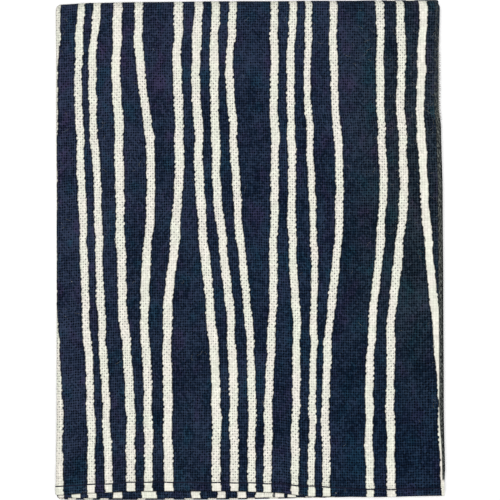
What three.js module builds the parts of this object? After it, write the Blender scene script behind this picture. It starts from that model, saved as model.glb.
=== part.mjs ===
// A cotton handkerchief, folded for the shelf and lying face up.
// The cloth is doubled across its width and then folded in three along its length, back and forth,
// so one closed solid holds six layers. Millimetres, +Z up, the top fold towards +Y.
import * as THREE from "three";

// One layer stands for two plies of thin cotton that lie on each other.
const LAYER_THICKNESS = 1.0;
// Air between the two layers of the doubled width.
const WIDTH_GAP = 0.2;
// Air between the three panels of the length.
const PANEL_GAP = 0.3;
// The sewn hem at the end of the cloth: its depth, and how far it stands up on the front.
const HEM_DEPTH = 2.0;
const HEM_SLOPE = 0.5;
const HEM_RISE = 0.3;
// A layer's open edge rounds off over this length; the shares say where its steps lie,
// and how much of the thickness is left at the very tip.
const EDGE_ROUND = 0.5;
const EDGE_STEPS = [0, 0.3, 1];
const TIP_SHARE = 0.45;
// The corner of the top fold and the selvedge is cut back this far.
const CORNER_CUT = 0.6;

// Steps along each straight run and around each fold.
const STEPS = { across: 10, along: 11, widthFold: 6, lengthFold: 8 };

// What the lines across the cloth measure on the face, one row for each place from left to right:
// the front hem's edge, the top fold, the bottom fold, and the hem of the panel at the back.
const LINES_ACROSS = [
  { x: -44.0, frontHem: -55.7, topFold: 56.0, bottomFold: -56.5, backHem: 54.6 },
  { x: -36.0, frontHem: -55.2, topFold: 56.2, bottomFold: -56.5, backHem: 54.8 },
  { x: -25.0, frontHem: -54.8, topFold: 56.3, bottomFold: -56.4, backHem: 55.1 },
  { x: -4.0, frontHem: -54.8, topFold: 56.4, bottomFold: -56.4, backHem: 55.7 },
  { x: 5.0, frontHem: -55.0, topFold: 56.5, bottomFold: -56.3, backHem: 56.0 },
  { x: 14.0, frontHem: -55.9, topFold: 56.5, bottomFold: -56.2, backHem: 56.3 },
  { x: 28.0, frontHem: -56.1, topFold: 56.6, bottomFold: -55.9, backHem: 56.7 },
  { x: 44.0, frontHem: -55.8, topFold: 56.6, bottomFold: -55.5, backHem: 56.8 },
];

// What the lines along the cloth measure on the face, one row for each place from bottom to top:
// the fold at the left, the selvedge at the right, and the folded edge that shows beside it.
const LINES_ALONG = [
  { y: -56.5, leftFold: -44.1, selvedge: 43.9, underFold: 44.2 },
  { y: -35.0, leftFold: -44.1, selvedge: 43.6, underFold: 44.0 },
  { y: -11.0, leftFold: -44.0, selvedge: 43.3, underFold: 43.8 },
  { y: 12.0, leftFold: -44.0, selvedge: 43.1, underFold: 43.5 },
  { y: 36.0, leftFold: -43.9, selvedge: 42.9, underFold: 43.4 },
  { y: 56.5, leftFold: -43.8, selvedge: 42.7, underFold: 43.1 },
];

// Soft swells and hollows of the pile: centre, spread, and height at the top of the pile.
const SWELLS = [
  { x: -6, y: 50, spreadX: 40, spreadY: 12, height: 0.2 },
  { x: -40, y: 4, spreadX: 10, spreadY: 34, height: 0.2 },
  { x: 6, y: -6, spreadX: 30, spreadY: 30, height: -0.35 },
  { x: -13, y: -52, spreadX: 14, spreadY: 9, height: 0.15 },
  { x: 30, y: 24, spreadX: 12, spreadY: 26, height: 0.1 },
  { x: 38, y: -48, spreadX: 12, spreadY: 12, height: -0.3 },
];

// Sizes that follow from the layers.
const HALF_LAYER = LAYER_THICKNESS / 2;
const WIDTH_FOLD_RADIUS = (LAYER_THICKNESS + WIDTH_GAP) / 2;
const PANEL_THICKNESS = 2 * LAYER_THICKNESS + WIDTH_GAP;
const PANEL_PITCH = PANEL_THICKNESS + PANEL_GAP;
const LENGTH_FOLD_RADIUS = PANEL_PITCH / 2;
const LENGTH_FOLD_REACH = LENGTH_FOLD_RADIUS + PANEL_THICKNESS / 2;
const BACK_LEVEL = PANEL_THICKNESS / 2;
const MIDDLE_LEVEL = BACK_LEVEL + PANEL_PITCH;
const FRONT_LEVEL = MIDDLE_LEVEL + PANEL_PITCH;
const PILE_HEIGHT = FRONT_LEVEL + PANEL_THICKNESS / 2;

// Reads one column of a table at any place, easing from row to row.
function readLine(table, key, place, column) {
  const last = table.length - 1;
  if (place <= table[0][key]) {
    return table[0][column];
  }
  for (let i = 0; i < last; i += 1) {
    const from = table[i];
    const to = table[i + 1];
    if (place <= to[key]) {
      const share = THREE.MathUtils.smoothstep(place, from[key], to[key]);
      return THREE.MathUtils.lerp(from[column], to[column], share);
    }
  }
  return table[last][column];
}

// Shares from 0 to 1 along a run; an open end gets extra steps where its edge rounds off.
function runShares(steps, length, openStart, openEnd) {
  const shares = [];
  const rounding = EDGE_STEPS.map((step) => (step * EDGE_ROUND) / length);
  const rounded = rounding.pop();
  const first = openStart ? rounded : 0;
  const last = openEnd ? 1 - rounded : 1;
  if (openStart) {
    shares.push(...rounding);
  }
  for (let i = 0; i <= steps; i += 1) {
    shares.push(THREE.MathUtils.lerp(first, last, i / steps));
  }
  if (openEnd) {
    shares.push(...rounding.reverse().map((share) => 1 - share));
  }
  return shares;
}

// How full the layer is at a distance from its open edge.
function edgeFullness(distance) {
  if (distance >= EDGE_ROUND) {
    return 1;
  }
  const inward = 1 - distance / EDGE_ROUND;
  return TIP_SHARE + (1 - TIP_SHARE) * Math.sqrt(Math.max(0, 1 - inward * inward));
}

// Stations of the doubled width, from the selvedge at the right, around the left fold, and back.
function widthStations() {
  const nominal = 2 * LINES_ALONG[0].selvedge;
  const stations = [];
  for (const share of runShares(STEPS.across, nominal, true, false)) {
    stations.push({ run: "upper", share, fullness: edgeFullness(share * nominal) });
  }
  for (let i = 1; i < STEPS.widthFold; i += 1) {
    stations.push({ run: "fold", angle: (Math.PI * i) / STEPS.widthFold, fullness: 1 });
  }
  for (const share of runShares(STEPS.across, nominal, false, true)) {
    stations.push({ run: "lower", share, fullness: edgeFullness((1 - share) * nominal) });
  }
  return stations;
}

// Stations of the three panels, from the front hem, over the top and bottom folds, to the back hem.
function lengthStations() {
  const nominal = 2 * LINES_ACROSS[0].topFold;
  const stations = [];
  const hemSteps = [HEM_DEPTH, HEM_DEPTH + HEM_SLOPE].map((depth) => depth / nominal);
  const front = runShares(STEPS.along, nominal, true, false).concat(hemSteps);
  for (const share of front.sort((a, b) => a - b)) {
    const depth = share * nominal;
    stations.push({ run: "front", share, depth, fullness: edgeFullness(depth) });
  }
  for (let i = 1; i < STEPS.lengthFold; i += 1) {
    stations.push({ run: "topFold", angle: (Math.PI * i) / STEPS.lengthFold, fullness: 1 });
  }
  for (const share of runShares(STEPS.along, nominal, false, false)) {
    stations.push({ run: "middle", share, fullness: 1 });
  }
  for (let i = 1; i < STEPS.lengthFold; i += 1) {
    stations.push({ run: "bottomFold", angle: (Math.PI * i) / STEPS.lengthFold, fullness: 1 });
  }
  for (const share of runShares(STEPS.along, nominal, false, true)) {
    stations.push({ run: "back", share, fullness: edgeFullness((1 - share) * nominal) });
  }
  return stations;
}

// A point of the doubled width: its place across, its height above the panel's middle,
// and the direction from the inside of the doubling to the outside.
function widthPoint(station, y) {
  const foldX = readLine(LINES_ALONG, "y", y, "leftFold") + WIDTH_FOLD_RADIUS + HALF_LAYER;
  const top = LINES_ACROSS[0].topFold;
  const cut = CORNER_CUT * THREE.MathUtils.smoothstep(y, top - 2 * CORNER_CUT, top);
  if (station.run === "upper") {
    const openX = readLine(LINES_ALONG, "y", y, "selvedge") - cut;
    const x = THREE.MathUtils.lerp(openX, foldX, station.share);
    return { x, height: WIDTH_FOLD_RADIUS, outX: 0, outHeight: 1 };
  }
  if (station.run === "fold") {
    const outX = -Math.sin(station.angle);
    const outHeight = Math.cos(station.angle);
    const x = foldX + WIDTH_FOLD_RADIUS * outX;
    return { x, height: WIDTH_FOLD_RADIUS * outHeight, outX, outHeight };
  }
  const underX = readLine(LINES_ALONG, "y", y, "underFold") - cut;
  const x = THREE.MathUtils.lerp(foldX, underX, station.share);
  return { x, height: -WIDTH_FOLD_RADIUS, outX: 0, outHeight: -1 };
}

// Where a length station lies for a given place across, and how far it is from the panel's middle.
function lengthPoint(station, x, height) {
  const at = (column) => readLine(LINES_ACROSS, "x", x, column);
  const topCentre = at("topFold") - LENGTH_FOLD_REACH;
  const bottomCentre = at("bottomFold") + LENGTH_FOLD_REACH;
  if (station.run === "front") {
    const y = THREE.MathUtils.lerp(at("frontHem"), topCentre, station.share);
    return { y, z: FRONT_LEVEL + height };
  }
  if (station.run === "topFold") {
    const radius = LENGTH_FOLD_RADIUS + height;
    const centreZ = (FRONT_LEVEL + MIDDLE_LEVEL) / 2;
    const y = topCentre + radius * Math.sin(station.angle);
    return { y, z: centreZ + radius * Math.cos(station.angle) };
  }
  if (station.run === "middle") {
    const y = THREE.MathUtils.lerp(topCentre, bottomCentre, station.share);
    return { y, z: MIDDLE_LEVEL - height };
  }
  if (station.run === "bottomFold") {
    const radius = LENGTH_FOLD_RADIUS - height;
    const centreZ = (MIDDLE_LEVEL + BACK_LEVEL) / 2;
    const y = bottomCentre - radius * Math.sin(station.angle);
    return { y, z: centreZ + radius * Math.cos(station.angle) };
  }
  const y = THREE.MathUtils.lerp(bottomCentre, at("backHem"), station.share);
  return { y, z: BACK_LEVEL + height };
}

// How much higher or lower than even the pile lies at a place on the face, as a share.
function swellShare(x, y) {
  let height = 0;
  for (const swell of SWELLS) {
    const across = (x - swell.x) / swell.spreadX;
    const along = (y - swell.y) / swell.spreadY;
    height += swell.height * Math.exp(-(across * across + along * along) / 2);
  }
  return height / PILE_HEIGHT;
}

// The hem's rise on the face of the front panel, falling off behind the row of sewing.
function hemRise(widthStation, lengthStation) {
  if (widthStation.run !== "upper" || lengthStation.run !== "front") {
    return 0;
  }
  const fall = THREE.MathUtils.smoothstep(lengthStation.depth, HEM_DEPTH, HEM_DEPTH + HEM_SLOPE);
  return HEM_RISE * (1 - fall);
}

// A point on one side of the layer: side 1 is the outside of the doubling, -1 the inside.
function clothPoint(widthStation, lengthStation, side) {
  const nominalY = lengthPoint(lengthStation, 0, 0).y;
  const across = widthPoint(widthStation, nominalY);
  const fullness = widthStation.fullness * lengthStation.fullness;
  const rise = side > 0 ? hemRise(widthStation, lengthStation) : 0;
  const offset = side * (HALF_LAYER + rise) * fullness;
  const x = across.x + across.outX * offset;
  const along = lengthPoint(lengthStation, x, across.height + across.outHeight * offset);
  return [x, along.y, along.z * (1 + swellShare(x, along.y))];
}

// Closes the two sides of the layer and its four edges into one body.
function foldedCloth() {
  const across = widthStations();
  const along = lengthStations();
  const positions = [];
  for (const side of [1, -1]) {
    for (const lengthStation of along) {
      for (const widthStation of across) {
        positions.push(...clothPoint(widthStation, lengthStation, side));
      }
    }
  }
  const columns = across.length;
  const rows = along.length;
  const inside = columns * rows;
  const indices = [];
  const quad = (a, b, c, d) => indices.push(a, b, c, a, c, d);
  for (let j = 0; j < rows - 1; j += 1) {
    for (let i = 0; i < columns - 1; i += 1) {
      const corner = j * columns + i;
      quad(corner, corner + columns, corner + columns + 1, corner + 1);
      const under = corner + inside;
      quad(under, under + 1, under + columns + 1, under + columns);
    }
  }
  for (let j = 0; j < rows - 1; j += 1) {
    const open = j * columns;
    quad(open, open + inside, open + columns + inside, open + columns);
    const far = open + columns - 1;
    quad(far, far + columns, far + columns + inside, far + inside);
  }
  for (let i = 0; i < columns - 1; i += 1) {
    quad(i, i + 1, i + 1 + inside, i + inside);
    const end = (rows - 1) * columns + i;
    quad(end, end + inside, end + 1 + inside, end + 1);
  }
  const geometry = new THREE.BufferGeometry();
  geometry.setAttribute("position", new THREE.Float32BufferAttribute(positions, 3));
  geometry.setIndex(indices);
  return geometry;
}

const geometry = foldedCloth();
geometry.computeBoundingBox();
const centre = geometry.boundingBox.getCenter(new THREE.Vector3());
geometry.translate(-centre.x, -centre.y, -geometry.boundingBox.min.z);
geometry.computeVertexNormals();

const indigoCotton = new THREE.MeshStandardMaterial({
  color: 0x19253a,
  roughness: 0.95,
  metalness: 0,
});

const cloth = new THREE.Mesh(geometry, indigoCotton);
cloth.name = "folded_cloth";

const handkerchief = new THREE.Group();
handkerchief.add(cloth);

export default handkerchief;
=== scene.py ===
"""A thin cotton handkerchief with wavering ivory stripes on indigo, folded and seen from straight above.

The cloth is one sheet. It is doubled twice across its width, so that four plies lie on each other, and
these are folded back and forth in three along its length. The tables and sizes below are in millimetres,
and the face of the pile is named after the photograph: left, right, top and bottom. A place on the sheet
is u, the distance across it from the selvedge on the face, and v, the distance along it from the hem on
the face. Blender works in metres, so points are scaled once, when their mesh is made.
"""

import bpy
import numpy as np
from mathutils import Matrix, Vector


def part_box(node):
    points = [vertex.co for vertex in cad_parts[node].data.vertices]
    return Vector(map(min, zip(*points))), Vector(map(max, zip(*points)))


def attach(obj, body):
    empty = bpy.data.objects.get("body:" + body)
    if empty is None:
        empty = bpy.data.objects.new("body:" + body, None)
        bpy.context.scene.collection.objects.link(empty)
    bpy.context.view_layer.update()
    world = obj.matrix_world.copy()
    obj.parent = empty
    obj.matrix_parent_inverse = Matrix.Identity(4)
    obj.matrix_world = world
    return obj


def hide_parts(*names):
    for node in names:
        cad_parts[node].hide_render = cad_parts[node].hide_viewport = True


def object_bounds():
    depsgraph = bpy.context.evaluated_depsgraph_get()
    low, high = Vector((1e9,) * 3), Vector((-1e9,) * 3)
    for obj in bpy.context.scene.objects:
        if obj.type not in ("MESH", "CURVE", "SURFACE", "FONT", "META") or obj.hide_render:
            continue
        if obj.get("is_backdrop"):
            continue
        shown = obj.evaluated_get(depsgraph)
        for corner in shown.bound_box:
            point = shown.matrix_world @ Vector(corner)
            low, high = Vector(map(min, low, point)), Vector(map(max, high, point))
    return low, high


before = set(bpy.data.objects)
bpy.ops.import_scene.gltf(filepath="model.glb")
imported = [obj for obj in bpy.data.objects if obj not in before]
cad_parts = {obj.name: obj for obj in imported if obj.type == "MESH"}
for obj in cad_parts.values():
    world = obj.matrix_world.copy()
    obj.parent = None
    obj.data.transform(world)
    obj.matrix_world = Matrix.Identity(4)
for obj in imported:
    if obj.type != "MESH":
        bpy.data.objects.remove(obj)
cad_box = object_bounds()

MM = 0.001

# The columns of a table of soft patches: where each lies, how widely it spreads, and how much of it.
PATCH = "x y spread_x spread_y amount"


def table(columns, *rows):
    """Rows of values, each of which is named by its column."""
    return [dict(zip(columns.split(), row)) for row in rows]


# The photograph: its side in pixels, and what a pixel measures on the face of the cloth.
PHOTO_PIXELS = 500
PIXEL = 0.2274
PHOTO_SIDE = PHOTO_PIXELS * PIXEL

# The cloth: thickness of a ply, distance from ply to ply, and the pitch of its threads.
PLY = 0.42
PLY_PITCH = 0.6
WARP_PITCH = 0.53
WEFT_PITCH = 0.582

# The three panels of the length lie this far apart, as in the solid. Each is a bundle of four plies.
PANEL_PITCH = 2.5
BUNDLE_HALF = 1.5 * PLY_PITCH + PLY / 2
PILE_HEIGHT = 2 * PANEL_PITCH + 2 * BUNDLE_HALF

# Radii of the cloth's middle at the folds across the width and at the folds across the length.
OUTER_FOLD = 1.5 * PLY_PITCH
INNER_FOLD = 0.5 * PLY_PITCH
LENGTH_FOLD = PANEL_PITCH / 2
FOLD_REACH = LENGTH_FOLD + BUNDLE_HALF

# The hem at both ends of the cloth: its slope back to one ply, and how many times it thickens a ply
# and spreads the bundle.
HEM_SLOPE = 0.5
HEM_PLY = 1.3
HEM_SPREAD = 1.22

# A ply's open edge rounds off over this length, down to this share of its thickness.
EDGE_ROUND = 0.3
TIP_SHARE = 0.4

# Lines across the cloth on the face, one row for each place from left to right: the edge of the front
# ply, the edge of the plies under it, the two folds, the hem at the back, and how far the sewing of the
# front hem lies from its edge. They lie within 1 of the solid's lines.
LINES_ACROSS = table(
    "x front_hem under_hem top_fold bottom_fold back_hem seam",
    (-44, -55.7, -56.5, 56.0, -57.2, 54.6, 1.95),
    (-36, -55.2, -56.6, 56.4, -57.3, 54.8, 1.9),
    (-25, -54.8, -56.6, 56.6, -57.3, 55.1, 2.05),
    (-4, -54.8, -56.5, 56.8, -57.2, 55.7, 1.9),
    (5, -55.1, -56.3, 56.8, -57.0, 56.2, 2.0),
    (14, -56.0, -56.3, 56.9, -56.8, 56.8, 2.25),
    (28, -56.2, -56.0, 56.9, -56.5, 57.2, 1.7),
    (44, -55.9, -55.6, 56.9, -56.1, 57.3, 1.6),
)
LEFT_ROW = LINES_ACROSS[0]
MIDDLE_ROW = LINES_ACROSS[3]

# Lines along the cloth on the face, one row for each place from bottom to top: the fold on the left,
# and the front selvedge and the folded edge beside it on the right.
LINES_ALONG = table(
    "y left_fold selvedge under_fold",
    (-56.5, -44.3, 44.2, 44.0),
    (-35.0, -44.1, 43.8, 44.0),
    (-11.0, -44.1, 43.7, 43.9),
    (12.0, -44.1, 43.55, 43.75),
    (27.5, -44.2, 43.2, 43.4),
    (32.5, -44.2, 42.65, 42.8),
    (44.0, -44.2, 42.63, 42.8),
    (56.5, -44.3, 42.9, 43.1),
)
BOTTOM_ROW = LINES_ALONG[0]
# The row from which the flat width of the sheet is worked out.
FLAT_ROW = LINES_ALONG[2]

# How far the plies under the front hem end short of the longest one, and how far into the second
# quarter of the width the front ply's hem eases to theirs.
PLY_SETBACKS = {"second": 0.5, "third": 0.3, "fourth": 0.0}
SETBACK_EASE = 4
# How far the under selvedge stands out beyond the front one, from the second of these heights up.
UNDER_SELVEDGE = 0.3
UNDER_SELVEDGE_HEIGHTS = (-54.0, -51.5)
# How far the right corner at the top fold is drawn in, in full from this height up.
CORNER_CUT = 0.45
CORNER_HEIGHT = LEFT_ROW["top_fold"]

# Soft swells and hollows of the pile, as in the solid.
SWELLS = table(
    PATCH,
    (-6, 50, 40, 12, 0.2),
    (-40, 4, 10, 34, 0.2),
    (6, -6, 30, 30, -0.35),
    (-13, -52, 14, 9, 0.15),
    (30, 24, 12, 26, 0.1),
    (38, -48, 12, 12, -0.3),
)

# The stitches of the back hem lift the cloth this far. Its lowest point is found at these columns.
FLOOR_GAP = 0.15
FLOOR_COLUMNS = 400
# The solid is centred on its own box, which moves the tables' frame this far to the right.
FRAME_SHIFT = 0.04

# Heights on the face at which the stripes of the front panel are given, from the top fold down.
STRIPE_HEIGHTS = (55.5, 42.4, 28.5, 14.4, 0.0, -14.1, -28.4, -52.0)
# The middle of each stripe of the front panel at those heights, and last its width, from left to right.
FRONT_STRIPES = [
    (-38.4, -39.1, -38.8, -38.3, -37.8, -37.4, -36.5, -36.1, 1.6),
    (-34.9, -35.9, -35.6, -34.7, -34.4, -33.9, -33.1, -32.2, 1.65),
    (-30.0, -30.5, -29.9, -29.7, -29.4, -28.9, -27.6, -27.1, 1.9),
    (-25.4, -25.1, -23.2, -22.5, -23.4, -24.1, -23.4, -23.1, 1.8),
    (-16.3, -16.6, -16.1, -16.3, -17.4, -18.8, -18.8, -18.6, 1.9),
    (-11.6, -12.4, -11.8, -11.5, -10.4, -9.0, -7.9, -7.7, 1.9),
    (-7.9, -8.2, -7.9, -7.6, -6.1, -4.6, -3.9, -3.6, 1.8),
    (-3.8, -4.7, -3.9, -3.15, -2.05, -0.5, 0.3, 0.3, 1.65),
    (5.5, 5.5, 5.6, 5.6, 5.3, 5.1, 4.4, 3.9, 1.7),
    (9.8, 9.2, 9.4, 9.5, 9.6, 10.5, 10.5, 10.1, 1.65),
    (13.4, 13.0, 13.5, 14.0, 14.6, 14.5, 14.3, 13.9, 1.45),
    (18.9, 19.0, 19.8, 20.4, 19.8, 18.2, 17.3, 17.3, 1.65),
    (29.5, 29.6, 29.9, 30.3, 29.4, 27.9, 27.2, 27.2, 1.65),
    (34.2, 34.4, 34.5, 35.0, 33.8, 32.2, 31.9, 32.1, 1.8),
    (39.4, 39.0, 38.9, 39.6, 40.7, 42.1, 43.4, 44.25, 1.75),
]
# The stripe that wraps the left fold, at the same heights, from the fold's apex towards the front.
WRAPPED_STRIPE = (0.5, -0.1, -0.3, -0.6, -0.7, -0.4, 0.5, 1.05)
# The stripe near the right fold, at the same heights, from the fold's apex towards the second quarter.
RIGHT_FOLD_STRIPE = (2.2, 0.3, 0.2, 1.6, 2.4, 2.6, 2.4, 1.4)
WRAPPED_WIDTH = 1.9

# The middles of the stripes of the other quarters, from left to right. The fourth quarter shows below
# the front hem, and the second shows at the bottom fold and on the underside. The third is hidden but
# for its edges.
STRIPES_AT_UNDER_HEM = [
    -43.2, -39.5, -35.8, -30.1, -23.7, -22.2, -12.4, -6.7, -2.1, 1.9,
    4.0, 6.4, 9.2, 13.2, 18.6, 24.6, 29.7, 34.2, 40.4,
]
STRIPES_AT_BOTTOM_FOLD = [
    -40.6, -36.7, -33.2, -24.6, -18.2, -13.9, -8.5, -3.7,
    0.4, 5.7, 11.5, 15.3, 18.6, 27.0, 32.2, 36.6,
]
STRIPES_INSIDE = [
    -38.2, -33.7, -27.0, -22.8, -18.7, -11.1, -6.9, -1.2,
    3.2, 9.6, 14.1, 18.0, 25.3, 29.8, 34.1, 38.2,
]
STRIPE_WIDTH = 1.9

# Slow waves that carry the stripes to and fro: reach, length across and along, and phases.
WAVES = table(
    "reach across along phase_across phase_along",
    (1.5, 34, 150, 0.7, 0.4),
    (0.9, 21, 92, 2.1, 1.9),
    (0.5, 61, 58, 4.0, 3.1),
)
# Quick waves that leave each stripe's edge unsteady, as if drawn by hand, and the steps of their phase
# from stripe to stripe and from wave to wave.
TREMORS = table("reach along", (0.09, 17.0), (0.07, 9.5), (0.05, 5.3))
STRIPE_PHASE = 2.4
TREMOR_PHASE = 1.7
# The share of a stripe's width for each millimetre of such waves, which are those of the stripe that
# would come this many later.
WIDTH_TREMOR = 0.6
WIDTH_LATER = 40
# In the front hem the stripes lean this far to the right, from this distance on towards its edge.
HEM_SLANT = 0.06
HEM_REACH = 2.0

# Where a paler indigo is painted over the face as a sheen of light, most towards the top left, and how
# much.
SHEEN_PATCHES = table(
    PATCH,
    (-44, 52, 30, 22, 0.45),
    (-44, -10, 14, 50, 0.34),
    (38, 30, 8, 20, 0.2),
    (4, 50, 30, 16, 0.2),
)
# Where the indigo of the face is greener, and where it is deeper and a green blue.
GREEN_PATCHES = table(PATCH, (37, 18, 9, 38, 1.0))
BLUE_GREEN_PATCHES = table(PATCH, (36, -44, 12, 15, 0.9), (8, -6, 16, 44, 0.35))
# The value of depth_under_hem where no hem lies above.
UNCOVERED = 9.0

# Rows of the mesh along the length.
ROW_STEP = 2.9
FOLD_ROWS = 12
HEM_ROWS = [0.0, 0.1, 0.3, 1.0, 1.6, 1.95, 2.3, 2.8]
# Columns of the mesh at a selvedge and round each fold across the width, and their least distance.
EDGE_COLUMNS = [0.0, 0.1, EDGE_ROUND]
FOLD_COLUMNS = {"left_fold": 13, "right_fold": 9, "inner_fold": 9}
COLUMN_GAP = 0.07
# How far past the outer stripes their distances are carried on.
STRIPE_MARGIN = 4


def column_of(rows, name):
    return np.array([row[name] for row in rows], dtype=float)


def smoothed(share):
    return share * share * (3 - 2 * share)


def smooth_step(value, low, high):
    return smoothed(np.clip((value - low) / (high - low), 0, 1))


def read_line(rows, key, place, name):
    """One column of a table at any place, easing from row to row as the solid does."""
    places, values = column_of(rows, key), column_of(rows, name)
    place = np.clip(place, places[0], places[-1])
    after = np.clip(np.searchsorted(places, place), 1, len(places) - 1)
    share = smoothed((place - places[after - 1]) / (places[after] - places[after - 1]))
    return values[after - 1] + (values[after] - values[after - 1]) * share


def curve_through(places, values, at):
    """A smooth curve through values at rising places, as a cubic with the mean slope at each."""
    places, values = np.asarray(places, float), np.asarray(values, float)
    slopes = np.gradient(values, places)
    at = np.clip(at, places[0], places[-1])
    after = np.clip(np.searchsorted(places, at), 1, len(places) - 1)
    before = after - 1
    span = places[after] - places[before]
    share = (at - places[before]) / span
    return (
        values[before] * (2 * share**3 - 3 * share**2 + 1)
        + values[after] * (3 * share**2 - 2 * share**3)
        + slopes[before] * span * (share**3 - 2 * share**2 + share)
        + slopes[after] * span * (share**3 - share**2)
    )


def soft_sum(rows, x, y):
    """The sum of soft patches at each place."""
    total = np.zeros_like(x)
    for row in rows:
        across, along = (x - row["x"]) / row["spread_x"], (y - row["y"]) / row["spread_y"]
        total += row["amount"] * np.exp(-(across**2 + along**2) / 2)
    return total


def fold_centre(y):
    """The x about which the cloth turns at its left folds."""
    return read_line(LINES_ALONG, "y", y, "left_fold") + OUTER_FOLD + PLY / 2


# The runs of the sheet across its width, from the front selvedge to the other selvedge.
FLAT_ACROSS = FLAT_ROW["selvedge"] - float(fold_centre(FLAT_ROW["y"]))
RUNS_ACROSS = {
    "first": FLAT_ACROSS,
    "left_fold": np.pi * OUTER_FOLD,
    "second": FLAT_ACROSS,
    "right_fold": np.pi * INNER_FOLD,
    "third": FLAT_ACROSS,
    "inner_fold": np.pi * INNER_FOLD,
    "fourth": FLAT_ACROSS,
}
# The runs of the sheet along its length, from the front hem to the hem at the back.
TOP_CENTRE = MIDDLE_ROW["top_fold"] - FOLD_REACH
BOTTOM_CENTRE = MIDDLE_ROW["bottom_fold"] + FOLD_REACH
RUNS_ALONG = {
    "front": TOP_CENTRE - MIDDLE_ROW["front_hem"],
    "top_fold": np.pi * LENGTH_FOLD,
    "middle": TOP_CENTRE - BOTTOM_CENTRE,
    "bottom_fold": np.pi * LENGTH_FOLD,
    "back": MIDDLE_ROW["back_hem"] - BOTTOM_CENTRE,
}


def run_starts(runs):
    """Where each run starts on the sheet, and where the last one ends."""
    ends = np.cumsum(list(runs.values()))
    return dict(zip(runs, np.concatenate([[0], ends[:-1]]))), float(ends[-1])


START_ACROSS, CLOTH_WIDTH = run_starts(RUNS_ACROSS)
START_ALONG, CLOTH_LENGTH = run_starts(RUNS_ALONG)

# The stripe that wraps the left fold, on the two panels behind: distances along the sheet, and places
# there from the fold's apex towards the front.
WRAPPED_BEHIND = [
    (START_ALONG["top_fold"] + 40, 0.5),
    (START_ALONG["bottom_fold"], -1.2),
    (CLOTH_LENGTH - 50, -0.4),
    (CLOTH_LENGTH, 0.3),
]
# The other quarters: their stripes, the distance along the sheet at which these are given, and 1 where
# the sheet runs to the right in that quarter or -1 where it runs to the left.
BOTTOM_FOLD_SEEN = START_ALONG["bottom_fold"] + RUNS_ALONG["bottom_fold"] / 4
HIDDEN_QUARTERS = [
    ("second", STRIPES_AT_BOTTOM_FOLD, BOTTOM_FOLD_SEEN, 1),
    ("third", STRIPES_INSIDE, 0.0, -1),
    ("fourth", STRIPES_AT_UNDER_HEM, 0.0, 1),
]


def run_middle(name):
    """The middle of a run across, which is the apex of a fold."""
    return START_ACROSS[name] + RUNS_ACROSS[name] / 2


def width_path(u, y):
    """Where a place across the sheet lies when the width is doubled twice.

    Gives its x, its height above the bundle's middle, and the direction of the sheet's front side."""
    left = fold_centre(y)
    cut = CORNER_CUT * smooth_step(y, CORNER_HEIGHT - 2 * CORNER_CUT, CORNER_HEIGHT)
    front_edge = read_line(LINES_ALONG, "y", y, "selvedge") - cut
    right = read_line(LINES_ALONG, "y", y, "under_fold") - cut - INNER_FOLD - PLY / 2
    other_edge = front_edge + UNDER_SELVEDGE * smooth_step(y, *UNDER_SELVEDGE_HEIGHTS)

    def share(name):
        return (u - START_ACROSS[name]) / RUNS_ACROSS[name]

    def flat(name, start, end, height, facing):
        zero = np.zeros_like(u)
        return start + (end - start) * share(name), zero + height, zero, zero + facing

    def turn(name, centre, level, radius, sideways, upward, facing):
        angle = np.pi * share(name)
        beside, above = sideways * np.sin(angle), upward * np.cos(angle)
        return centre + radius * beside, level + radius * above, facing * beside, facing * above

    places = {
        "first": flat("first", front_edge, left, OUTER_FOLD, 1),
        "left_fold": turn("left_fold", left, 0, OUTER_FOLD, -1, 1, 1),
        "second": flat("second", left, right, -OUTER_FOLD, -1),
        "right_fold": turn("right_fold", right, -PLY_PITCH, INNER_FOLD, 1, -1, 1),
        "third": flat("third", right, left, -INNER_FOLD, 1),
        "inner_fold": turn("inner_fold", left, 0, INNER_FOLD, -1, -1, -1),
        "fourth": flat("fourth", left, other_edge, INNER_FOLD, -1),
    }
    result = [value.copy() for value in places["first"]]
    for name, values in places.items():
        inside = u >= START_ACROSS[name]
        for kept, value in zip(result, values):
            kept[inside] = value[inside]
    return result


def hem_edges(u, x):
    """Where the front hem and the back hem of each ply end, as y."""
    middles = [run_middle(name) for name in PLY_SETBACKS]
    setback = np.interp(u, middles, list(PLY_SETBACKS.values()))
    under = smooth_step(u, START_ACROSS["left_fold"], START_ACROSS["second"] + SETBACK_EASE)
    front = read_line(LINES_ACROSS, "x", x, "front_hem")
    front += (read_line(LINES_ACROSS, "x", x, "under_hem") - front) * under
    return front + setback * under, read_line(LINES_ACROSS, "x", x, "back_hem") - setback * under


def length_path(v, u, x, height):
    """Where a place along the sheet lies when the bundle is folded in three, as y and z."""
    top = read_line(LINES_ACROSS, "x", x, "top_fold") - FOLD_REACH
    bottom = read_line(LINES_ACROSS, "x", x, "bottom_fold") + FOLD_REACH
    front_hem, back_hem = hem_edges(u, x)
    back_level = BUNDLE_HALF
    under_level = back_level + LENGTH_FOLD
    middle_level = back_level + PANEL_PITCH
    over_level = middle_level + LENGTH_FOLD
    front_level = middle_level + PANEL_PITCH

    def share(name):
        return (v - START_ALONG[name]) / RUNS_ALONG[name]

    over, under = np.pi * share("top_fold"), np.pi * share("bottom_fold")
    outer, inner = LENGTH_FOLD + height, LENGTH_FOLD - height
    places = {
        "front": (front_hem + (top - front_hem) * share("front"), front_level + height),
        "top_fold": (top + outer * np.sin(over), over_level + outer * np.cos(over)),
        "middle": (top + (bottom - top) * share("middle"), middle_level - height),
        "bottom_fold": (bottom - inner * np.sin(under), under_level + inner * np.cos(under)),
        "back": (bottom + (back_hem - bottom) * share("back"), back_level + height),
    }
    y, z = np.zeros_like(u), np.zeros_like(u)
    for name, (value_y, value_z) in places.items():
        inside = v >= START_ALONG[name]
        y[inside], z[inside] = value_y[inside], value_z[inside]
    return y, z


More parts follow.
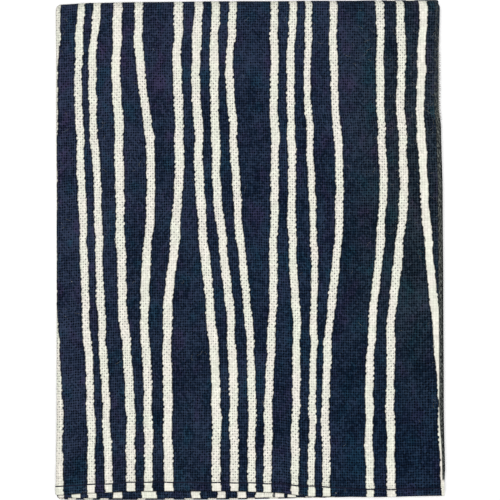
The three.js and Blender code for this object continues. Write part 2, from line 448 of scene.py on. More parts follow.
def fold_slack(v, height):
    """How much further the threads of a ply run than v says, by its height in the two folds."""
    top = np.clip(v - START_ALONG["top_fold"], 0, RUNS_ALONG["top_fold"])
    bottom = np.clip(v - START_ALONG["bottom_fold"], 0, RUNS_ALONG["bottom_fold"])
    return (top - bottom) * height / LENGTH_FOLD


def depth_under_hem(u, v, x, y):
    """How far a place of a lower layer lies out from under the hem above it."""
    front = read_line(LINES_ACROSS, "x", x, "front_hem") - y
    under = read_line(LINES_ACROSS, "x", x, "under_hem") - y
    depth = np.full_like(x, UNCOVERED)
    lower = (v < START_ALONG["top_fold"]) & (u > run_middle("left_fold"))
    fold = (v > START_ALONG["bottom_fold"] - ROW_STEP) & (v < START_ALONG["back"])
    depth[lower] = front[lower]
    depth[fold] = under[fold]
    return depth


def in_hem(from_end, x):
    """1 in a hem and 0 outside it, by the distance from the end of the cloth."""
    seam = read_line(LINES_ACROSS, "x", x, "seam")
    return 1 - smooth_step(from_end, seam, seam + HEM_SLOPE)


def edge_fullness(distance):
    """The share of its thickness that a ply has at a distance from its open edge."""
    inward = 1 - np.clip(distance / EDGE_ROUND, 0, 1)
    return TIP_SHARE + (1 - TIP_SHARE) * np.sqrt(1 - inward**2)


def cloth_point(u, v, side, lift=0.0):
    """A point on one side of the sheet, 1 for its front and -1 for its back, as placed in the pile."""
    zero = np.zeros_like(u)
    nominal_y, _ = length_path(v, zero + CLOTH_WIDTH / 2, zero, zero)
    x, height, out_x, out_height = width_path(u, nominal_y)
    from_end = np.minimum(v, CLOTH_LENGTH - v)
    hem = in_hem(from_end, x)
    fullness = edge_fullness(from_end) * edge_fullness(np.minimum(u, CLOTH_WIDTH - u))
    offset = side * (PLY / 2 * (1 + (HEM_PLY - 1) * hem) * fullness + lift)
    height = height + out_height * offset
    height = (height + BUNDLE_HALF) * (1 + (HEM_SPREAD - 1) * hem) - BUNDLE_HALF
    x = x + out_x * offset
    y, z = length_path(v, u, x, height)
    swell = soft_sum(SWELLS, x, y) / PILE_HEIGHT
    return np.stack([x, y, z * (1 + swell)], axis=-1)


def sheet_rows():
    """Distances of the mesh's rows along the sheet."""
    hem = np.array(HEM_ROWS)
    rows = [hem]
    for name, start in START_ALONG.items():
        run = RUNS_ALONG[name]
        steps = FOLD_ROWS if name.endswith("fold") else round(run / ROW_STEP) - 1
        end = min(start + run, CLOTH_LENGTH - hem[-1])
        rows.append(np.linspace(max(start, hem[-1]), end, steps + 1)[1:])
    return np.concatenate([*rows, CLOTH_LENGTH - hem[-2::-1]])


def find_place():
    """Where the tables' frame lies in the solid's frame, in metres, with the cloth on the floor."""
    u, v = np.meshgrid(np.linspace(0, CLOTH_WIDTH, FLOOR_COLUMNS), sheet_rows())
    lowest = min(cloth_point(u, v, side)[..., 2].min() for side in (1, -1))
    return np.array([FRAME_SHIFT, 0.0, FLOOR_GAP - lowest]) * MM


PLACE_IN_FRAME = find_place()


def placed(points):
    """Moves points from the tables' frame to the solid's, in metres."""
    return points * MM + PLACE_IN_FRAME


# Places of the stripes on the sheet.
def wander(u, v):
    moved = np.zeros_like(u)
    for wave in WAVES:
        across = np.sin(2 * np.pi * u / wave["across"] + wave["phase_across"])
        along = np.sin(2 * np.pi * v / wave["along"] + wave["phase_along"])
        moved += wave["reach"] * across * along
    return moved


def carried_on(place, at, v):
    """Takes a stripe's place, given at one distance along the sheet, on to the distances v."""
    start = np.full_like(v, place)
    return place + wander(start, v) - wander(start, np.full_like(v, at))


def tremble(number, v):
    moved = np.zeros_like(v)
    for i, wave in enumerate(TREMORS):
        phase = STRIPE_PHASE * number + TREMOR_PHASE * i
        moved += wave["reach"] * np.sin(2 * np.pi * v / wave["along"] + phase)
    return moved


def front_place(x, y):
    """Turns a place on the front panel into a distance across the sheet."""
    edge = read_line(LINES_ALONG, "y", y, "selvedge")
    return (edge - x) / (edge - fold_centre(y)) * RUNS_ACROSS["first"]


def front_height(y):
    """Turns a height on the front panel into a distance along the sheet."""
    return (y - MIDDLE_ROW["front_hem"]) / (TOP_CENTRE - MIDDLE_ROW["front_hem"]) * RUNS_ALONG["front"]


def face_stripes(v):
    """The stripes of the front panel, and the two at the folds on its left and right."""
    heights = np.array(STRIPE_HEIGHTS[::-1])
    knots = front_height(heights)
    last = knots[-1]
    stripes = []
    for *places, width in FRONT_STRIPES:
        across = front_place(np.array(places[::-1]), heights)
        onward = carried_on(across[-1], last, v)
        stripes.append((np.where(v < last, curve_through(knots, across, v), onward), width / 2))

    wrapped_knots = [*knots, *(distance for distance, _ in WRAPPED_BEHIND)]
    wrapped_places = [*WRAPPED_STRIPE[::-1], *(place for _, place in WRAPPED_BEHIND)]
    for name, at, places in (
        ("left_fold", wrapped_knots, wrapped_places),
        ("right_fold", knots, RIGHT_FOLD_STRIPE[::-1]),
    ):
        across = [run_middle(name) - place for place in places]
        stripes.append((curve_through(at, across, v), WRAPPED_WIDTH / 2))
    return stripes


def hidden_stripes(v):
    left = -FLAT_ROW["left_fold"] - OUTER_FOLD - PLY / 2
    stripes = []
    for name, middles, at, sense in HIDDEN_QUARTERS:
        origin = START_ACROSS[name] + (left if sense > 0 else RUNS_ACROSS[name] - left)
        for middle in middles:
            stripes.append((carried_on(origin + sense * middle, at, v), STRIPE_WIDTH / 2))
    return stripes


def all_stripes(v):
    """The middle and half width of each stripe at distances v along the sheet, in order across it."""
    face, hidden = face_stripes(v), hidden_stripes(v)
    slant = HEM_SLANT * np.clip(1 - v / HEM_REACH, 0, 1)
    slants = [-slant] * len(face) + [slant] * len(hidden)
    stripes = []
    for i, ((middle, half), lean) in enumerate(zip(face + hidden, slants)):
        share = 1 + WIDTH_TREMOR * tremble(i + WIDTH_LATER, v)
        stripes.append((middle + tremble(i, v) + lean, half * share))
    stripes.sort(key=lambda stripe: stripe[0].mean())
    return stripes


def stripe_keys(rows):
    """Places across the sheet in each row, and how far each lies inside the nearest stripe's edge.

    That distance is above zero inside a stripe and below zero outside."""
    stripes = all_stripes(rows)
    keys, values = [], []
    for middle, half in stripes:
        edge = np.zeros_like(half)
        keys += [middle - half, middle, middle + half]
        values += [edge, half, edge]
    for i in range(len(stripes) - 1, 0, -1):
        start, end = keys[3 * i - 1], keys[3 * i]
        keys.insert(3 * i, (start + end) / 2)
        values.insert(3 * i, (start - end) / 2)
    keys = [keys[0] - STRIPE_MARGIN, *keys, keys[-1] + STRIPE_MARGIN]
    values = [values[0] - STRIPE_MARGIN, *values, values[-1] - STRIPE_MARGIN]
    return np.stack(keys, axis=1), np.stack(values, axis=1)


def sheet_columns(rows):
    """Columns of the mesh, which follow the stripes, and each point's distance as stripe_keys gives it."""
    keys, values = stripe_keys(rows)
    edges = np.array(EDGE_COLUMNS)
    fixed = [edges, CLOTH_WIDTH - edges]
    for name, count in FOLD_COLUMNS.items():
        start = START_ACROSS[name]
        fixed.append(np.linspace(start, start + RUNS_ACROSS[name], count))
    fixed = np.tile(np.concatenate(fixed), (len(rows), 1))
    columns = np.sort(np.concatenate([keys, fixed], axis=1), axis=1)
    columns = np.clip(columns, 0, CLOTH_WIDTH)
    for i in range(1, columns.shape[1]):
        columns[:, i] = np.maximum(columns[:, i], columns[:, i - 1] + COLUMN_GAP)
    columns[:, -1] = CLOTH_WIDTH
    for i in range(columns.shape[1] - 2, -1, -1):
        columns[:, i] = np.minimum(columns[:, i], columns[:, i + 1] - COLUMN_GAP)
    columns[:, 0] = 0
    distance = np.stack([np.interp(row, key, value) for row, key, value in zip(columns, keys, values)])
    return columns, distance


def grid_faces(rows, columns):
    """Faces of a closed sheet whose front grid comes first and back grid second."""
    corner = (np.arange(rows - 1)[:, None] * columns + np.arange(columns - 1)[None]).ravel()
    back = rows * columns
    front_faces = np.stack([corner, corner + 1, corner + columns + 1, corner + columns], axis=1)
    back_faces = front_faces[:, ::-1] + back
    along = np.arange(rows - 1) * columns
    across = np.arange(columns - 1)
    near = np.stack([along, along + columns, along + columns + back, along + back], axis=1)
    far = near[:, ::-1] + columns - 1
    low = np.stack([across, across + back, across + 1 + back, across + 1], axis=1)
    high = low[:, ::-1] + (rows - 1) * columns
    return np.concatenate([front_faces, back_faces, near, far, low, high])


def mesh_object(name, points, faces, material):
    mesh = bpy.data.meshes.new(name)
    mesh.from_pydata(points.tolist(), [], [list(face) for face in faces])
    mesh.materials.append(material)
    mesh.shade_smooth()
    piece = bpy.data.objects.new(name, mesh)
    bpy.context.scene.collection.objects.link(piece)
    return piece


def store(mesh, name, *columns):
    """Keeps one value or three for each point of a mesh, where a shader finds them by name."""
    kind, field = ("FLOAT", "value") if len(columns) == 1 else ("FLOAT_VECTOR", "vector")
    values = np.stack(columns, axis=1)
    mesh.attributes.new(name, kind, "POINT").data.foreach_set(field, values.ravel())


def build_cloth(material):
    """The sheet, with what the shader reads at each of its points."""
    along = sheet_rows()
    columns, distance = sheet_columns(along)
    v = np.repeat(along[:, None], columns.shape[1], axis=1)
    points = np.concatenate([cloth_point(columns, v, side).reshape(-1, 3) for side in (1, -1)])
    cloth = mesh_object("cotton_cloth", placed(points), grid_faces(*columns.shape), material)

    _, height, _, _ = width_path(columns, np.zeros_like(columns))
    fields = (columns, v, fold_slack(v, height), distance)
    u, v, slack, stripe = (np.tile(field.ravel(), 2) for field in fields)
    x, y = points[:, 0], points[:, 1]
    # Amounts of painted sheen, and of the green and green-blue tints, at each point.
    patches = [soft_sum(rows, x, y) for rows in (SHEEN_PATCHES, GREEN_PATCHES, BLUE_GREEN_PATCHES)]
    store(cloth.data, "sheet", u, v, slack)
    store(cloth.data, "stripe", stripe)
    store(cloth.data, "sheen_and_tints", *patches)
    # How far each point lies out from under a hem, which sets the painted shade of the crevice.
    store(cloth.data, "under_hem", depth_under_hem(u, v, x, y))
    return cloth


# Fields of noise: how their two directions are stretched, and their seed, scale and detail.
NOISES = {
    "warp_drift": (1.0, 1.0, 0.0, 0.11, 2.0),
    "weft_drift": (1.0, 1.0, 7.0, 0.13, 2.0),
    "warp_slub": (0.4, 1.0, 17.0, 0.7, 2.0),
    "weft_slub": (1.0, 0.4, 19.0, 0.7, 2.0),
    "warp_shade": (3.7, 0.16, 1.0, 1.0, 1.0),
    "weft_shade": (3.3, 0.2, 5.0, 1.0, 1.0),
    "ragged": (0.25, 1.0, 0.0, 0.55, 1.0),
    "blotches": (1.2, 1.0, 23.0, 0.1, 1.0),
    "tint": (1.4, 1.0, 3.0, 0.17, 3.0),
    "pores": (1.0, 0.6, 11.0, 0.09, 1.0),
    "streaks": (5.0, 1.3, 13.0, 1.0, 3.0),
}
# Seeds of what is drawn for a pore, for a crossing of two threads, and for a step of a stripe's edge.
PORE_SEED = 21.0
CROSSING_SEED = 3.0
STEP_SEED = 9.0

# Ranges that the shader smooths over: from, to, and then what they are laid out on if not 0 to 1.
RANGES = {
    "crowded": (0.0, 8.0, 1.0, 0.0),
    "warp_on_top": (-0.3, 0.3),
    "painted_relief_shade": (0.5, 1.25),
    "open_pore": (0.3, 0.8),
    "open_pore_share": (0.0, 0.7, 0.45, 1.0),
    "shut_pore": (-0.5, -0.9),
    "shut_pore_share": (0.3, 1.0, 0.1, 0.65),
    "dark_open_pore": (0.15, 0.7),
    "dark_open_pore_share": (0.0, 0.9, 0.15, 1.0),
    "dark_shut_pore": (-0.15, -0.75),
    "dark_shut_pore_share": (0.25, 1.0, 0.0, 0.9),
    "pale": (-0.14, 0.14),
    "ground": (0.49, 1.15),
    "painted_sheen": (0.3, 1.1),
    "purple": (0.52, 0.72),
    "teal": (0.48, 0.30),
    "deep_beside_stripe": (-0.55, -0.1, 0.0, 0.55),
    "past_hem": (1.6, 2.2),
    "past_selvedge": (2.5, 7.0),
    "pore_patches": (0.32, 0.56, 0.45, 1.0),
    "warm": (0.35, 0.65),
    "streak_reach": (8.0, 20.0, 0.45, 0.8),
    "streak_edge": (0.12, -0.12),
    "streak_hem": (3.2, 3.8),
    "streak_top": (95.0, 82.0, 0.3, 1.0),
    "streaks": (0.44, 0.66),
    "front_selvedge": (2.0, 1.0),
    "out_of_crevice": (0.32, 0.08),
    "into_crevice": (-1.6, -0.8),
}

# How many threads the warp and the weft drift, how many more a slub moves them, and how many more
# warp threads crowd together at a selvedge.
WARP_DRIFT = 1.1
WEFT_DRIFT = 0.9
SLUB = 0.55
CROWDING = 1.6
# How far the thread on top stands above the other.
CROSSING_RISE = 0.45
# What moves the edge of the dye at a stripe: steps of so many threads, slow waves, and the weave.
STEP_THREADS = 3.0
STEP_REACH = 0.22
RAGGED_REACH = 0.34
WEAVE_REACH = 0.06
# How much the crossing, the thread, the relief and the blotches shade the dyed and the pale threads.
# The relief's share is painted shade between the threads and a painted highlight on their crests.
GROUND_SHADES = {"crossing": 0.3, "thread": 0.36, "painted_relief_shade": 0.3, "blotches": 0.5}
IVORY_SHADES = {"crossing": 0.18, "thread": 0.2, "painted_relief_shade": 0.15}
IVORY_BRIGHTNESS = 0.625
# How strongly shade is painted into the crevice right under a hem.
CREVICE_SHADE = 0.85

# Gloss of the cloth, and the strength and depth of its weave's relief, the depth in metres.
CLOTH_ROUGHNESS = 0.92
CLOTH_SHEEN = 0.005
SHEEN_ROUGHNESS = 0.6
SPECULAR = 0.04
WEAVE_BUMP = 0.5
WEAVE_DEPTH = 0.00012

# Colours of the dyed threads and of the pale ones.
INDIGO_SHADE = (0.0018, 0.0065, 0.0175, 1)
INDIGO_LIGHT = (0.0296, 0.0468, 0.0860, 1)
# The deepest indigo: the dye beside the stripes, and also painted shade in the dyed threads' pores.
INDIGO_DEEP = (0.0008, 0.0016, 0.0040, 1)
# A paler indigo, painted over the face as a sheen of light.
INDIGO_SHEEN = (0.0380, 0.0470, 0.0950, 1)
# Painted shade in the crevice right under a hem.
CREVICE = (0.004, 0.005, 0.008, 1)
IVORY = (0.848, 0.862, 0.740, 1)
IVORY_WARM = (0.880, 0.842, 0.757, 1)
# Grey painted into the ivory's pores: partly the dark layer below, partly painted shade under the ply.
IVORY_PORE = (0.25, 0.25, 0.24, 1)
SELVEDGE_DARK = (0.014, 0.016, 0.017, 1)
SELVEDGE_GREY = (0.150, 0.165, 0.150, 1)
# Tints that the dyed threads are multiplied by.
PURPLE = (1.36, 0.86, 1.03, 1)
TEAL = (0.65, 1.12, 1.05, 1)
GREEN = (1.08, 1.04, 0.74, 1)
BLUE_GREEN = (0.55, 0.76, 0.92, 1)

# Sewing thread, stray fibres and the floor: colour, roughness and how dark the flecks are.
THREAD_LOOK = ((0.012, 0.014, 0.03), 0.8, 0.15)
FIBRE_LOOK = ((0.33, 0.33, 0.29), 0.9, 0.15)
FLOOR_LOOK = ((0.98, 0.98, 0.98), 0.9, 0.01)
# Scale and detail of the flecks.
FLECKS = (900.0, 2.0)


class Nodes:
    """Short names for the shader nodes that the materials are made of."""

    def __init__(self, name):
        self.material = bpy.data.materials.new(name)
        self.material.use_nodes = True
        self.tree = self.material.node_tree
        self.tree.nodes.clear()

    def add(self, kind, **settings):
        node = self.tree.nodes.new(kind)
        for key, value in settings.items():
            setattr(node, key, value)
        return node

    def feed(self, socket, value):
        if isinstance(value, bpy.types.NodeSocket):
            self.tree.links.new(value, socket)
        else:
            socket.default_value = value

    def made(self, kind, *values, **settings):
        """The first output of a new node, the first sockets of which are fed with values."""
        node = self.add(kind, **settings)
        for socket, value in zip(node.inputs, values):
            self.feed(socket, value)
        return node.outputs[0]

    def math(self, operation, *values):
        return self.made("ShaderNodeMath", *values, operation=operation)

    def total(self, *values):
        result = values[0]
        for value in values[1:]:
            result = self.math("ADD", result, value)
        return result

    def product(self, *values):
        result = values[0]
        for value in values[1:]:
            result = self.math("MULTIPLY", result, value)
        return result

    def rest(self, whole, part):
        return self.math("SUBTRACT", whole, part)

    def about_zero(self, share, reach):
        return self.product(self.rest(share, 0.5), reach)

    def attribute(self, name, output):
        return self.add("ShaderNodeAttribute", attribute_name=name).outputs[output]

    def vector(self, x, y, z):
        return self.made("ShaderNodeCombineXYZ", x, y, z)

    def split(self, vector):
        node = self.add("ShaderNodeSeparateXYZ")
        self.feed(node.inputs[0], vector)
        return node.outputs

    def texture(self, vector, scale, detail):
        node = self.add("ShaderNodeTexNoise")
        self.feed(node.inputs["Vector"], vector)
        self.feed(node.inputs["Scale"], scale)
        self.feed(node.inputs["Detail"], detail)
        return node.outputs["Fac"]

    def noise(self, name, first, second):
        """The named field of noise, laid over two directions of the cloth."""
        stretch, other_stretch, seed, scale, detail = NOISES[name]
        place = self.vector(self.product(first, stretch), self.product(second, other_stretch), seed)
        return self.texture(place, scale, detail)

    def random(self, x, y, seed):
        return self.made("ShaderNodeTexWhiteNoise", self.vector(x, y, seed))

    def ranged(self, name, value):
        """value's share of the way over the named range, smoothed, and laid out as that says."""
        low, high, *laid_out = RANGES[name]
        values = (value, low, high, *(laid_out or (0.0, 1.0)))
        return self.made("ShaderNodeMapRange", *values, interpolation_type="SMOOTHSTEP", clamp=True)

    def shaded(self, shades, fields):
        """The sum of the named fields, each times its share in the table of shades."""
        return self.total(*(self.product(fields[name], share) for name, share in shades.items()))

    def mix(self, share, first, second, blend="MIX"):
        node = self.add("ShaderNodeMix", data_type="RGBA", blend_type=blend, clamp_factor=True)
        first_colour, second_colour = (socket for socket in node.inputs if socket.type == "RGBA")
        self.feed(node.inputs[0], share)
        self.feed(first_colour, first)
        self.feed(second_colour, second)
        return next(socket for socket in node.outputs if socket.type == "RGBA")

    def tinted(self, colour, tint):
        return self.mix(1.0, colour, tint, blend="MULTIPLY")

    def finish(self, colour, roughness, sheen=0.0, weave=None):
        """The material, with the relief of its weave where that is given."""
        shader = self.add("ShaderNodeBsdfPrincipled")
        self.feed(shader.inputs["Base Color"], colour)
        self.feed(shader.inputs["Roughness"], roughness)
        self.feed(shader.inputs["Specular IOR Level"], SPECULAR)
        self.feed(shader.inputs["Sheen Weight"], sheen)
        self.feed(shader.inputs["Sheen Roughness"], SHEEN_ROUGHNESS)
        if weave is not None:
            bump = self.add("ShaderNodeBump")
            self.feed(bump.inputs["Strength"], WEAVE_BUMP)
            self.feed(bump.inputs["Distance"], WEAVE_DEPTH)
            self.feed(bump.inputs["Height"], weave)
            self.feed(shader.inputs["Normal"], bump.outputs[0])
        output = self.add("ShaderNodeOutputMaterial")
        self.feed(output.inputs["Surface"], shader.outputs[0])
        return self.material


class Weave:
    """Plain weave in shader nodes: where its threads lie, how they cross, and their pores."""

    def __init__(self, n):
        self.u, self.v, slack = n.split(n.attribute("sheet", "Vector"))
        self.from_selvedge = n.math("MINIMUM", self.u, n.rest(CLOTH_WIDTH, self.u))
        self.from_end = n.math("MINIMUM", self.v, n.rest(CLOTH_LENGTH, self.v))

        # Threads wander a little, and the warp crowds together towards the selvedges.
        self.warp = n.total(
            n.math("DIVIDE", self.u, WARP_PITCH),
            n.product(n.noise("warp_drift", self.u, self.v), WARP_DRIFT),
            n.product(n.ranged("crowded", self.from_selvedge), CROWDING),
            n.product(n.noise("warp_slub", self.u, self.v), SLUB),
        )
        self.weft = n.total(
            n.math("DIVIDE", n.total(self.v, slack), WEFT_PITCH),
            n.product(n.noise("weft_drift", self.v, self.u), WEFT_DRIFT),
            n.product(n.noise("weft_slub", self.u, self.v), SLUB),
        )
        self.warp_number, self.weft_number = n.math("FLOOR", self.warp), n.math("FLOOR", self.weft)
        warp_turn, weft_turn = n.product(self.warp, np.pi), n.product(self.weft, np.pi)
        warp_wave, weft_wave = n.math("SINE", warp_turn), n.math("SINE", weft_turn)

        # Above zero where the warp lies on top, below zero where the weft does.
        self.over = n.product(warp_wave, weft_wave)
        rise = n.product(self.over, CROSSING_RISE)
        warp_height = n.total(n.math("ABSOLUTE", warp_wave), rise)
        weft_height = n.rest(n.math("ABSOLUTE", weft_wave), rise)
        self.height = n.math("MAXIMUM", warp_height, weft_height)

        # Pores lie at the corners of four threads; every other one is drawn shut.
        self.corner = n.product(n.math("COSINE", warp_turn), n.math("COSINE", weft_turn))
        self.openness = n.random(n.math("ROUND", self.warp), n.math("ROUND", self.weft), PORE_SEED)

        # Each thread has a shade that changes slowly along it, and each crossing has its own.
        on_top = n.ranged("warp_on_top", self.over)
        warp_shade = n.noise("warp_shade", self.warp_number, self.v)
        weft_shade = n.noise("weft_shade", self.weft_number, self.u)
        self.shades = {
            "crossing": n.random(self.warp_number, self.weft_number, CROSSING_SEED),
            "thread": n.total(n.product(warp_shade, on_top), n.product(weft_shade, n.rest(1.0, on_top))),
            # The relief is painted into the colour: shade between the threads, highlight on their crests.
            "painted_relief_shade": n.ranged("painted_relief_shade", self.height),
            "blotches": n.noise("blotches", self.u, self.v),
        }

    def pores(self, n, open_name, shut_name):
        """How deep a pore is here, for the two ranges named and their shares by the pore's openness."""
        pores = [
            n.product(n.ranged(name, self.corner), n.ranged(name + "_share", self.openness))
            for name in (open_name, shut_name)
        ]
        return n.math("MAXIMUM", *pores)


def pale_share(n, weave, stripe):
    """1 in a stripe. The dye stops unevenly at its edge, by threads and by small steps along it."""
    steps = n.math("FLOOR", n.math("DIVIDE", weave.warp, STEP_THREADS))
    ragged = n.total(
        n.about_zero(n.random(steps, weave.weft_number, STEP_SEED), STEP_REACH),
        n.about_zero(n.noise("ragged", weave.u, weave.v), RAGGED_REACH),
        n.product(weave.over, WEAVE_REACH),
    )
    return n.ranged("pale", n.total(stripe, ragged))


def dyed_threads(n, weave, stripe, tint):
    """Indigo in the shades of its threads, with a painted sheen, tinted places, and pores painted dark as
    shade.
    """
    shade = n.shaded(GROUND_SHADES, weave.shades)
    painted_sheen, green, blue_green = n.split(n.attribute("sheen_and_tints", "Vector"))
    dyed = n.mix(n.ranged("ground", shade), INDIGO_SHADE, INDIGO_LIGHT)
    # Paints the paler indigo of the sheen, most on the lighter threads.
    dyed = n.mix(n.product(painted_sheen, n.ranged("painted_sheen", shade)), dyed, INDIGO_SHEEN)
    for share, colour in (
        (green, GREEN),
        (blue_green, BLUE_GREEN),
        (n.ranged("purple", tint), PURPLE),
        (n.ranged("teal", tint), TEAL),
    ):
        dyed = n.mix(share, dyed, n.tinted(dyed, colour))
    # The pores are painted near black, as the shade inside the weave.
    dyed = n.mix(weave.pores(n, "dark_open_pore", "dark_shut_pore"), dyed, INDIGO_DEEP)
    return n.mix(n.ranged("deep_beside_stripe", stripe), dyed, INDIGO_DEEP)


def pale_threads(n, weave, tint):
    """Ivory, with pores painted grey, partly the dark layer below and partly painted shade under the ply,
    but not in the hem or selvedge.
    """
    single = n.product(n.ranged("past_hem", weave.from_end), n.ranged("past_selvedge", weave.from_selvedge))
    patchy = n.ranged("pore_patches", n.noise("pores", weave.u, weave.v))
    ivory = n.mix(n.ranged("warm", tint), IVORY, IVORY_WARM)
    ivory = n.tinted(ivory, n.total(IVORY_BRIGHTNESS, n.shaded(IVORY_SHADES, weave.shades)))
    return n.mix(n.product(weave.pores(n, "open_pore", "shut_pore"), single, patchy), ivory, IVORY_PORE)


def with_selvedge(n, weave, colour):
    """Lays the firm selvedge over a colour: it took the dye in streaks, and its stripes are covered."""
    reach = n.ranged("streak_reach", weave.from_end)
    band = n.product(
        n.ranged("streak_edge", n.rest(weave.from_selvedge, reach)),
        n.ranged("streak_hem", weave.from_end),
        n.ranged("streak_top", weave.v),
    )
    streaks = n.ranged("streaks", n.noise("streaks", weave.u, weave.v))
    streaked = n.product(streaks, n.ranged("front_selvedge", weave.u))
    return n.mix(band, colour, n.mix(streaked, SELVEDGE_DARK, SELVEDGE_GREY))


def with_crevice(n, colour):
    """Darkens a colour in the crevice right under a hem, which little light reaches."""
    depth = n.attribute("under_hem", "Fac")
    crevice = n.product(n.ranged("out_of_crevice", depth), n.ranged("into_crevice", depth), CREVICE_SHADE)
    return n.mix(crevice, colour, CREVICE)


def cotton_material():
    """Plain-woven cotton with a dyed ground and stripes left pale, thread by thread."""
    n = Nodes("woven_cotton")
    weave = Weave(n)
    stripe = n.attribute("stripe", "Fac")
    tint = n.noise("tint", weave.u, weave.v)
    dyed, pale = dyed_threads(n, weave, stripe, tint), pale_threads(n, weave, tint)
    colour = n.mix(pale_share(n, weave, stripe), dyed, pale)
    colour = with_crevice(n, with_selvedge(n, weave, colour))
    return n.finish(colour, CLOTH_ROUGHNESS, CLOTH_SHEEN, weave.height)


def plain_material(name, colour, roughness, fleck):
    """Thread, fibre or floor: one colour with a fine unevenness."""
    n = Nodes(name)
    grain = n.texture(n.add("ShaderNodeTexCoord").outputs["Object"], *FLECKS)
    darker = [part * (1 - fleck) for part in colour]
    return n.finish(n.mix(grain, (*colour, 1), (*darker, 1)), roughness)


# A tube's ends are drawn in to this share of its radius.
TUBE_TIP = 0.35


def tube(points, radius, sides=5):
    """A closed tube along points, with its two ends drawn to a tip."""
    tangents = np.gradient(points, axis=0)
    tangents /= np.linalg.norm(tangents, axis=1, keepdims=True)
    beside = np.cross(tangents, [0, 0, 1.0])
    beside /= np.linalg.norm(beside, axis=1, keepdims=True)
    above = np.cross(beside, tangents)
    turns = np.linspace(0, 2 * np.pi, sides, endpoint=False)
    radii = np.full(len(points), radius)
    radii[[0, -1]] = radius * TUBE_TIP
    rings = points[:, None] + radii[:, None, None] * (
        beside[:, None] * np.cos(turns)[None, :, None] + above[:, None] * np.sin(turns)[None, :, None]
    )
    vertices = rings.reshape(-1, 3)
    faces = []
    for ring in range(0, len(vertices) - sides, sides):
        for side in range(sides):
            here, following = ring + side, ring + (side + 1) % sides
            faces.append([here, here + sides, following + sides, following])
    caps = [list(range(sides)), [len(vertices) - 1 - i for i in range(sides)]]
    return vertices, faces + caps


def joined(parts):
    vertices, faces, start = [], [], 0
    for part_vertices, part_faces in parts:
        vertices.append(part_vertices)
        faces += [[start + i for i in face] for face in part_faces]
        start += len(part_vertices)
    return np.concatenate(vertices), faces


# Sewing: a stitch's length, the radius of its thread, and where the first one starts.
STITCH = 2.3
THREAD = 0.15
SEAM_START = 0.6
# How far the seam wanders from its line, and how fast.
SEAM_WANDER = 0.06
WANDER_PACE = 0.9
# Places along a stitch, and how deep its thread lies there, in radii: sunk all along, and diving into
# the cloth at both ends, the more sharply for a higher power.
STITCH_PLACES = np.array([0, 0.03, 0.08, 0.3, 0.5, 0.7, 0.92, 0.97, 1])
STITCH_SUNK = 0.1
STITCH_DIVE = 0.8
DIVE_POWER = 12


def build_stitches(material):
    """The row of sewing along both hems, on the two sides of the sheet, a stitch at a time."""
    parts = []
    depth = STITCH_SUNK + STITCH_DIVE * (2 * STITCH_PLACES - 1) ** DIVE_POWER
    for at_back_hem in (False, True):
        for side in (1, -1):
            start = SEAM_START + (STITCH / 2 if side < 0 else 0)
            while start + STITCH < CLOTH_WIDTH:
                u = start + STITCH_PLACES * STITCH
                x = width_path(u, np.full_like(u, BOTTOM_ROW["y"]))[0]
                seam = read_line(LINES_ACROSS, "x", x, "seam") + SEAM_WANDER * np.sin(u * WANDER_PACE)
                v = CLOTH_LENGTH - seam if at_back_hem else seam
                parts.append(tube(cloth_point(u, v, side, -THREAD * depth), THREAD))
                start += STITCH
    vertices, faces = joined(parts)
    return mesh_object("hem_stitches", placed(vertices), faces, material)


FIBRE = 0.016
FIBRE_STEPS = 6
FIBRE_SIDES = 3
FIBRE_SEED = 11
# Fibres keep this far from the hem's edge.
FIBRE_MARGIN = 0.3
# Loose fibres: where they lie on the face, how widely and how many, and then between which x, how long,
# how bent and how far above the cloth.
LINT = table(
    PATCH,
    (35, 27, 2.6, 13, 70),
    (41, 20, 1.6, 22, 50),
    (26, 48, 9, 5, 25),
    (-38, 0, 6, 40, 40),
    (0, 0, 30, 36, 90),
)
LINT_BETWEEN = (-43, 42.5)
LINT_LENGTH = (0.7, 2.4)
LINT_BEND = 1.6
LINT_LIFT = FIBRE * 1.5
# Fibres that stand out of the front selvedge, from bottom to top, and how they vary: where they start
# on the sheet, their swing, the shares of their reach, and how far below the face they start.
FUZZ = table("low high count reach", (-50, 22, 30, 0.4), (22, 54, 90, 0.5))
FUZZ_START = 0.05
FUZZ_SWING = 0.6
FUZZ_SHARES = (0.5, 1.6)
FUZZ_DEPTH = (0.0, 0.6 * PLY)
# Ends of pale weft threads that stand out of the selvedge, from bottom to top, and how they vary.
WEFT_ENDS = table(
    "low high step reach radius",
    (30, 33, 0.17, 0.85, 0.06),
    (33, 45, 0.19, 0.85, 0.052),
    (45, 49, 0.27, 0.6, 0.04),
)
WEFT_START = 0.12
WEFT_SWING = 0.2
WEFT_SHARES = (0.85, 1.1)
WEFT_SHIFT = 0.05
WEFT_BEND = 0.6
WEFT_DEPTH = 0.3 * PLY
# Small pale nubs of fibre caught in the face.
NUBS = table("x y length", (19.7, -54.1, 0.4), (-40.4, -6.6, 0.35))
NUB_STYLE = {"heading": 0.6, "bend": 0.4, "lift": 0.02, "radius": 0.1}


def lay_fibre(u, y, heading, length, bend, lift, radius=FIBRE):
    """A fibre on the front panel, from a distance u across the sheet at the height y on the face."""
    along_fibre = np.linspace(0, 1, FIBRE_STEPS)
    turned = heading + bend * (along_fibre - 0.5)
    step = length / FIBRE_STEPS
    path_u = u + np.cumsum(np.cos(turned)) * step
    path_v = float(front_height(y)) + np.cumsum(np.sin(turned)) * step
    path_v = np.clip(path_v, FIBRE_MARGIN, RUNS_ALONG["front"])
    return tube(cloth_point(path_u, path_v, 1, lift), radius, FIBRE_SIDES)


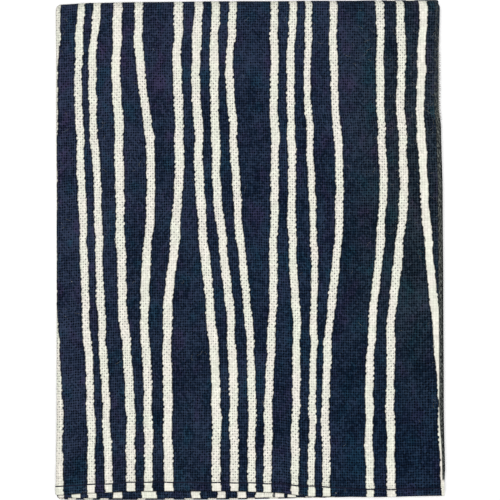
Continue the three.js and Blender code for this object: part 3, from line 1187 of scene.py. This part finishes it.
def lint_fibres(chance):
    for row in LINT:
        for _ in range(row["amount"]):
            x = row["x"] + row["spread_x"] * chance.normal()
            y = row["y"] + row["spread_y"] * chance.normal()
            u = float(front_place(np.clip(x, *LINT_BETWEEN), y))
            heading, bend = chance.uniform(0, 2 * np.pi), chance.normal() * LINT_BEND
            yield lay_fibre(u, y, heading, chance.uniform(*LINT_LENGTH), bend, LINT_LIFT)


def fuzz_fibres(chance):
    for row in FUZZ:
        for _ in range(row["count"]):
            y = chance.uniform(row["low"], row["high"])
            heading = np.pi + chance.normal() * FUZZ_SWING
            length = row["reach"] * chance.uniform(*FUZZ_SHARES)
            lift = -chance.uniform(*FUZZ_DEPTH)
            yield lay_fibre(FUZZ_START, y, heading, length, chance.normal(), lift)


def weft_fibres(chance):
    for row in WEFT_ENDS:
        for y in np.arange(row["low"], row["high"], row["step"]):
            heading = np.pi + chance.normal() * WEFT_SWING
            length = row["reach"] * chance.uniform(*WEFT_SHARES)
            shifted = y + chance.normal() * WEFT_SHIFT
            bend = chance.normal() * WEFT_BEND
            yield lay_fibre(WEFT_START, shifted, heading, length, bend, -WEFT_DEPTH, row["radius"])


def nub_fibres():
    for row in NUBS:
        u = float(front_place(row["x"], row["y"]))
        yield lay_fibre(u, row["y"], length=row["length"], **NUB_STYLE)


def build_lint(material):
    """Stray fibres on the face, the front selvedge's fuzz and its loose weft ends, as one piece."""
    chance = np.random.default_rng(FIBRE_SEED)
    fibres = [*lint_fibres(chance), *fuzz_fibres(chance), *weft_fibres(chance), *nub_fibres()]
    vertices, faces = joined(fibres)
    return mesh_object("stray_fibres", placed(vertices), faces, material)


# The camera's lens and sensor in millimetres, and the studio in metres and watts.
FOCAL_LENGTH = 200
SENSOR_WIDTH = 36
FLOOR_HALF = 3.0
LAMP_HEIGHT = 1.3
LAMP_SIZE = 0.3
LAMP_ENERGY = 15
AMBIENT = 0.25
WHITE = (1, 1, 1, 1)


def build_camera():
    data = bpy.data.cameras.new("camera")
    data.lens = FOCAL_LENGTH
    data.sensor_width = SENSOR_WIDTH
    camera = bpy.data.objects.new("camera", data)
    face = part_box("folded_cloth")[1][2]
    distance = PHOTO_SIDE * MM * FOCAL_LENGTH / SENSOR_WIDTH
    camera.location = (0, 0, face + distance)
    bpy.context.scene.collection.objects.link(camera)
    bpy.context.scene.camera = camera


def build_studio():
    """A pale floor, a soft lamp straight above, which shines down, and light from all round."""
    corners = np.array([[-1, -1, 0], [1, -1, 0], [1, 1, 0], [-1, 1, 0]]) * FLOOR_HALF
    material = plain_material("pale_floor", *FLOOR_LOOK)
    mesh_object("floor", corners, [[0, 1, 2, 3]], material)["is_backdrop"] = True
    light = bpy.data.lights.new("key", "AREA")
    light.energy = LAMP_ENERGY
    light.size = LAMP_SIZE
    lamp = bpy.data.objects.new("key", light)
    lamp.location = (0, 0, LAMP_HEIGHT)
    bpy.context.scene.collection.objects.link(lamp)
    world = bpy.data.worlds.new("studio")
    world.use_nodes = True
    background = world.node_tree.nodes["Background"]
    background.inputs["Color"].default_value = WHITE
    background.inputs["Strength"].default_value = AMBIENT
    bpy.context.scene.world = world
    bpy.context.scene.view_settings.view_transform = "Standard"


build_camera()
build_studio()
cloth = build_cloth(cotton_material())
stitches = build_stitches(plain_material("indigo_thread", *THREAD_LOOK))
lint = build_lint(plain_material("pale_fibre", *FIBRE_LOOK))
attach(cloth, "root")
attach(stitches, "root")
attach(lint, "root")
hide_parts("folded_cloth")

[[list(map(float, corner)) for corner in box] for box in (cad_box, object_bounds())]
